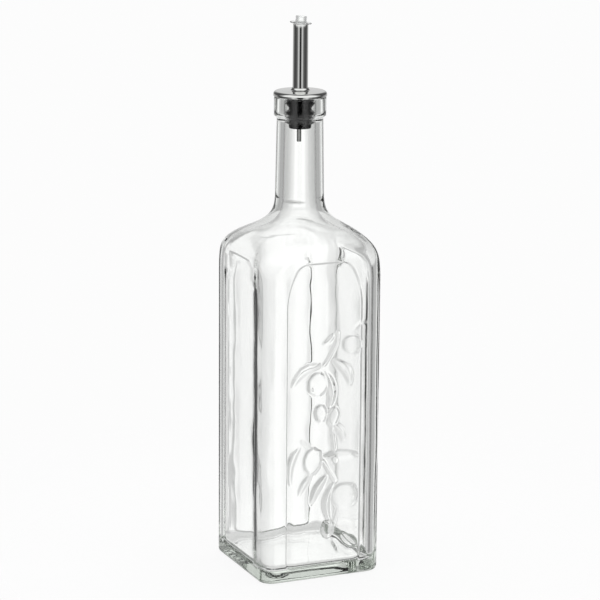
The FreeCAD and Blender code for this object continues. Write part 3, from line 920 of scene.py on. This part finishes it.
def makeStopper():
    s = stopperShape
    seat = glass["mouth"]
    bottom = seat - s["depth"]
    ledge = seat - s["seatDepth"]
    collarBottom = seat - s["collarHeight"]
    beadTop = bottom + s["bead"]
    neck = s["core"] - s["groove"]
    foot = s["core"] - s["beadTaper"] - s["footRound"]
    ease, chamfer = s["ease"], s["collarChamfer"]
    grooveEnd = (neck, beadTop + s["grooveRise"] + ease)
    coreStart = (s["core"], beadTop + s["coreRise"])
    points = [(s["passage"], bottom), (foot, bottom)]
    points += arcPoints(foot, bottom + s["footRound"], s["footRound"], -90, 0, 4)[1:]
    points += arcPoints(s["core"] - s["beadRound"], beadTop - s["beadRound"], s["beadRound"], 10, 80, 4)
    points += [(neck + ease, beadTop + s["grooveRise"] - ease / 2), grooveEnd]
    points += straight(grooveEnd, coreStart, 2)[1:]
    points += straight(coreStart, (s["core"], collarBottom), 8)
    points += [(s["core"], collarBottom), (s["collar"] - chamfer, collarBottom + chamfer)]
    points += [(s["collar"], collarBottom + s["collarEase"]), (s["collar"], seat - ease)]
    points += [(s["collar"] - ease, seat), (s["socket"] + ease, seat), (s["socket"], seat - ease)]
    points += [(s["socket"], ledge), (s["passage"], ledge), (s["passage"], bottom)]
    core = turnProfile("stopperCore", roundRows(points), fineRing, rubberFinish)

    bore = glass["mouthRadius"]
    slope = (glass["boreRoot"] - bore) / (glass["mouth"] - glass["bodyHeight"] - glass["shoulder"])
    tip = bore + slope * s["topFin"] - s["finClearance"]
    root = s["core"] - s["rootSunk"]
    tipHeight = seat - s["topFin"]

    def finRows(below):
        rootFoot = (root, tipHeight - below)
        rootEnd = (root, rootFoot[1] - s["rootRun"])
        rootHead = (root, tipHeight + s["rootAbove"])
        rows = [rootEnd] + straight(rootFoot, (tip - s["tipSlant"], tipHeight - s["tipRound"]), 6)[1:]
        rows += arcPoints(tip - s["tipRound"], tipHeight, s["tipRound"], -50, 60, 5)
        rows += straight((tip - s["tipRound"], tipHeight + s["tipRound"]), rootHead, 5)[1:]
        return roundRows(rows + [rootHead, rootEnd])

    fins = turnProfile("stopperFin", finRows(s["rootBelow"]), fineRing, rubberFinish)
    lastFin = turnProfile("lastFin", finRows(s["lastRootBelow"]), fineRing, rubberFinish)
    widening = slope * s["pitch"] / tip
    runTree(fins, makeFinTree(), {
        "Count": s["fins"] - 1, "Pitch": s["pitch"] * mm, "Widening": widening, "Finish": rubberFinish})
    lower = Matrix.Translation((0, 0, -s["pitch"] * (s["fins"] - 1) * mm))
    wide = 1 + widening * (s["fins"] - 1)
    lastFin.data.transform(lower @ Matrix.Diagonal((wide, wide, 1, 1)))
    whole = joinMeshes("stopperRubber", [core, fins, lastFin], rubberFinish)
    declare(whole, "black_rubber", "stopper")


ventShape = {"radius": 1.5, "bore": 1.0, "edge": 0.12}


def makeVentTube():
    v = ventShape
    start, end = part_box("vent_tube")
    centre = (start + end) / 2
    bottom, top = start.z / mm, end.z / mm
    points = [(v["bore"], bottom), (v["radius"] - v["edge"], bottom), (v["radius"], bottom + v["edge"])]
    points += straight((v["radius"], bottom + v["edge"]), (v["radius"], top), 20)[1:]
    points += [(v["radius"], top), (v["bore"], top)]
    boreFrom = len(points)
    points += straight((v["bore"], top), (v["bore"], bottom), 8)[1:] + [(v["bore"], bottom)]
    obj = turnProfile("ventTube", roundRows(points), fineRing, steelFinish, boreFrom)
    obj.data.transform(Matrix.Translation((centre.x, centre.y, 0)))
    declare(obj, "polished_steel", "vent_tube")


plugShape = {
    "radius": 3.4, "end": 2.9, "endEdge": 0.3, "length": 6.0, "floor": 1.0, "floorRound": 0.4,
    "brim": 6.6, "brimThickness": 0.6, "brimRelief": 0.2, "rootRound": 0.15,
    "knob": 3.4, "knobWall": 0.9, "knobHeight": 4.2, "edge": 0.3, "mouthRound": 0.2,
    "tilt": 5.0, "tiltAxis": (0.4, 0.92, 0),
}


def makeTipCap():
    p = plugShape
    thick, root, mouth, bend = p["brimThickness"], p["rootRound"], p["mouthRound"], p["floorRound"]
    hollow = p["knob"] - p["knobWall"]
    top = p["knobHeight"]
    bottom = -p["length"]
    floor = p["floor"] + bottom
    brimEdge = p["brim"] - thick / 2
    points = [(0, bottom), (p["end"] - p["endEdge"], bottom)]
    points += straight((p["end"], bottom + p["endEdge"]), (p["radius"], 0), 6)
    points += straight((p["radius"], 0), (p["brim"] - p["brimRelief"], 0), 3)
    points += arcPoints(brimEdge, thick / 2, thick / 2, -80, 80, 8)
    points += straight((brimEdge, thick), (p["knob"] + root, thick), 3)[1:]
    points += arcPoints(p["knob"] + root, thick + root, root, -90, -180, 3)
    points += straight((p["knob"], thick + p["brimRelief"]), (p["knob"], top - p["edge"]), 5)[1:]
    points += arcPoints(p["knob"] - p["edge"], top - p["edge"], p["edge"], 0, 90, 5)
    points += arcPoints(hollow + mouth, top - mouth, mouth, 90, 180, 4)
    points += straight((hollow, top - mouth), (hollow, floor + bend), 10)[1:]
    points += arcPoints(hollow - bend, floor + bend, bend, 0, -90, 4)
    points.append((0, floor))
    obj = turnProfile("tipCap", roundRows(points), fineRing, plasticFinish)
    lift = spoutShape["tip"] * math.tan(math.radians(p["tilt"]))
    lean = Matrix.Rotation(math.radians(p["tilt"]), 4, Vector(p["tiltAxis"]))
    obj.data.transform(Matrix.Translation((0, 0, (spoutShape["top"] + lift) * mm)) @ lean)
    declare(obj, "clear_plastic", "tip_cap")


makeDomeCap()
makeSpout()
makeStopper()
makeVentTube()
makeTipCap()
bpy.data.objects.remove(fineRing)
print("pourer made")


studio = {
    "front": -23.9,                # the bottle's azimuth that faces the viewer
    "floorSize": 1.2,
    "floorGap": 0.0002,            # a hair below the glass, so the two faces don't coincide
    "floorColor": (0.9, 0.9, 0.9, 1), "floorGlow": 0.9,
    "floorFade": (0.12, 0.34),     # the floor goes over into the white of the room between these
    "evenLight": 0.95, "seenLevel": 0.975,
    # what steel mirrors low down, by degrees from the viewer: a dark gap, soft boxes, dark sides
    "mirroredLow": [
        (0, 0.01), (9, 0.02), (16, 0.5), (29, 0.8), (44, 0.25), (60, 0.1), (98, 0.07), (126, 0.4),
        (180, 0.8),
    ],
    # and higher up: a wide soft box in front, a dark gap, grey behind
    "mirroredHigh": [
        (0, 1.15), (70, 1.15), (90, 0.4), (106, 0.08), (150, 0.12), (163, 0.4), (172, 0.66), (180, 0.72),
    ],
    "horizon": (-0.04, 0.06),      # heights on the unit sphere between which low goes over into high
    "overhead": 0.25, "overheadFrom": (0.86, 0.96),  # straight above, where the soft boxes don't meet
    # what glass bends into view, by degrees from front or back: white, pale grey, black gap, grey
    "bent": [
        (0, 1.22), (3, 1.17), (6, 0.96), (12, 0.78), (18, 0.69), (26, 0.67), (32, 0.5), (38, 0.16),
        (43, 0.03), (60, 0.03), (65, 0.66), (74, 0.72), (83, 0.96), (87, 1.17), (90, 1.22),
    ],
    # and how that dims downwards and upwards, by degrees above the lowest
    "bentLowest": -50.0,
    "bentRise": [
        (0, 0.55), (19, 0.6), (25, 0.75), (29, 0.98), (44, 1.0), (50, 0.8), (55, 0.54), (62, 0.44),
        (72, 0.38), (85, 0.16), (100, 0.06), (140, 0.05),
    ],
    "bentFloor": 0.72, "bentFloorFrom": (0.48, 0.58),  # what glass bends down to, and how far down
    "basePale": 0.85, "basePaleFrom": (0.02, 0.12),    # what the thick base carries up from behind
    "behindFrom": (108, 124),      # degrees from the viewer past which a direction counts as behind
    "oneWall": 3.5, "twoWalls": 4.0,  # how often light crosses glass that it passes through
    "leastBounced": 0.5, "leastStraight": 0.4,    # for light bounced in the glass, and straight through
    "trappedBounces": 2.5, "trappedLevel": 0.03,  # light caught in an upright edge comes out dark
    "trappedBelow": (-0.1, 0.0),
    "bounces": 28, "mirrorBounces": 16,           # thick glass sends light round its corners often
}


def ramp(tree, value, stops, full):  # stops are (place, level) with places from 0 to full
    node = addNode(tree, "ShaderNodeValToRGB")
    feed(tree, node.inputs["Fac"], calc(tree, "DIVIDE", value, full))
    node.color_ramp.interpolation = "EASE"
    elements = node.color_ramp.elements
    while len(elements) < len(stops):
        elements.new(0.5)
    for element, (place, level) in zip(elements, stops):
        element.position = place / full
        element.color = (level, level, level, 1)
    return node.outputs["Color"]


def makeFloor():
    half = studio["floorSize"] / 2
    level = -studio["floorGap"]
    corners = [(-half, -half, level), (half, -half, level), (half, half, level), (-half, half, level)]
    floor = meshObject("floor", corners, faces=[(0, 1, 2, 3)])
    material = bpy.data.materials.new("paleFloor")
    material.use_nodes = True
    tree = material.node_tree
    tree.nodes.remove(tree.nodes["Principled BSDF"])
    paint = addNode(tree, "ShaderNodeBsdfDiffuse")
    paint.inputs["Color"].default_value = studio["floorColor"]
    glow = addNode(tree, "ShaderNodeEmission")
    glow.inputs["Strength"].default_value = 1.0
    light = addNode(tree, "ShaderNodeLightPath").outputs
    lit = addNode(tree, "ShaderNodeMixShader")
    seen = times(tree, light["Is Camera Ray"], studio["floorGlow"])
    setInputs(tree, lit, {0: seen, 1: paint.outputs[0], 2: glow.outputs[0]})
    reach = addNode(tree, "ShaderNodeVectorMath", operation="LENGTH")
    feed(tree, reach.inputs[0], addNode(tree, "ShaderNodeTexCoord").outputs["Object"])
    fade = softStep(tree, reach.outputs["Value"], *studio["floorFade"])
    clear = addNode(tree, "ShaderNodeBsdfTransparent")
    # glass sees the room's white past the floor, not the floor's even light
    gone = calc(tree, "MAXIMUM", fade, light["Is Transmission Ray"])
    mix = addNode(tree, "ShaderNodeMixShader")
    setInputs(tree, mix, {0: gone, 1: lit.outputs[0], 2: clear.outputs[0]})
    tree.links.new(mix.outputs[0], tree.nodes["Material Output"].inputs["Surface"])
    floor.data.materials.append(material)


def makeWorld():
    # white all round for the eye; metal and glass also see the dark gaps between the soft boxes
    k = studio
    world = bpy.data.worlds.new("studio")
    scene.world = world
    world.use_nodes = True
    tree = world.node_tree
    x, y, z = split(tree, addNode(tree, "ShaderNodeTexCoord").outputs["Generated"])
    light = addNode(tree, "ShaderNodeLightPath").outputs
    cosine, sine = math.cos(math.radians(k["front"])), math.sin(math.radians(k["front"]))
    towards = minus(tree, times(tree, x, sine), times(tree, y, cosine))
    across = plus(tree, times(tree, x, cosine), times(tree, y, sine))
    inDegrees = 180 / math.pi
    away = calc(tree, "ABSOLUTE", times(tree, calc(tree, "ARCTAN2", across, towards), inDegrees))
    height = minus(tree, times(tree, calc(tree, "ARCSINE", z), inDegrees), k["bentLowest"])

    def choose(base, value, flag):
        return plus(tree, base, times(tree, minus(tree, value, base), flag))

    def otherThan(flag):
        return minus(tree, 1.0, flag)

    higher = ramp(tree, away, k["mirroredHigh"], 180)
    higher = choose(higher, k["overhead"], softStep(tree, z, *k["overheadFrom"]))
    lower = ramp(tree, away, k["mirroredLow"], 180)
    mirrored = choose(lower, higher, softStep(tree, z, *k["horizon"]))

    folded = calc(tree, "MINIMUM", away, minus(tree, 180.0, away))
    bent = times(tree, ramp(tree, folded, k["bent"], 90), ramp(tree, height, k["bentRise"], 140))
    bent = choose(bent, k["bentFloor"], softStep(tree, times(tree, z, -1.0), *k["bentFloorFrom"]))
    bounced = calc(tree, "GREATER_THAN", light["Glossy Depth"], 0.5)
    bent = calc(tree, "MAXIMUM", bent, times(tree, bounced, k["leastBounced"]))
    twoWalls = calc(tree, "COMPARE", light["Transmission Depth"], k["twoWalls"])
    passed = times(tree, twoWalls, otherThan(bounced))
    bent = calc(tree, "MAXIMUM", bent, times(tree, passed, k["leastStraight"]))
    # what a dark piece behind glass throws back towards the viewer is a mirror image too
    behind = softStep(tree, away, *k["behindFrom"])
    bent = choose(bent, mirrored, times(tree, bounced, otherThan(behind)))
    oneWall = calc(tree, "LESS_THAN", light["Transmission Depth"], k["oneWall"])
    carried = softStep(tree, z, *k["basePaleFrom"])
    carried = times(tree, carried, calc(tree, "MAXIMUM", oneWall, behind))
    bent = choose(bent, k["basePale"], times(tree, bounced, carried))
    trapped = calc(tree, "GREATER_THAN", light["Glossy Depth"], k["trappedBounces"])
    sinking = otherThan(softStep(tree, z, *k["trappedBelow"]))
    bent = choose(bent, k["trappedLevel"], times(tree, trapped, sinking))

    level = choose(k["evenLight"], mirrored, light["Is Glossy Ray"])
    level = choose(level, bent, light["Is Transmission Ray"])
    level = choose(level, k["seenLevel"], light["Is Camera Ray"])
    setInputs(tree, tree.nodes["Background"], {"Strength": level, "Color": (1, 1, 1, 1)})


camera = {
    "azimuth": -23.88, "elevation": 13.302, "roll": 0.446, "distance": 1.65624,
    "lens": 160.7, "aimHeight": 0.168424, "aimSide": 0.00084,
}


def makeCamera():
    c = camera
    turn, rise, roll = (math.radians(c[k]) for k in ("azimuth", "elevation", "roll"))
    back = Vector((math.sin(turn) * math.cos(rise), -math.cos(turn) * math.cos(rise), math.sin(rise)))
    right = Vector((math.cos(turn), math.sin(turn), 0))
    up = back.cross(right)
    aim = Vector((0, 0, c["aimHeight"])) + right * c["aimSide"]
    across = right * math.cos(roll) + up * math.sin(roll)
    upright = up * math.cos(roll) - right * math.sin(roll)
    data = bpy.data.cameras.new("camera")
    data.sensor_width = 36
    data.lens = c["lens"]
    data.clip_start, data.clip_end = 0.05, 20
    obj = bpy.data.objects.new("camera", data)
    scene.collection.objects.link(obj)
    axes = Matrix((across, upright, back)).transposed()
    obj.matrix_world = Matrix.Translation(aim + back * c["distance"]) @ axes.to_4x4()
    scene.camera = obj


makeFloor()
makeWorld()
makeCamera()
scene.cycles.max_bounces = scene.cycles.transmission_bounces = studio["bounces"]
scene.cycles.glossy_bounces = studio["mirrorBounces"]
scene.view_settings.view_transform = "Standard"
print("studio made")
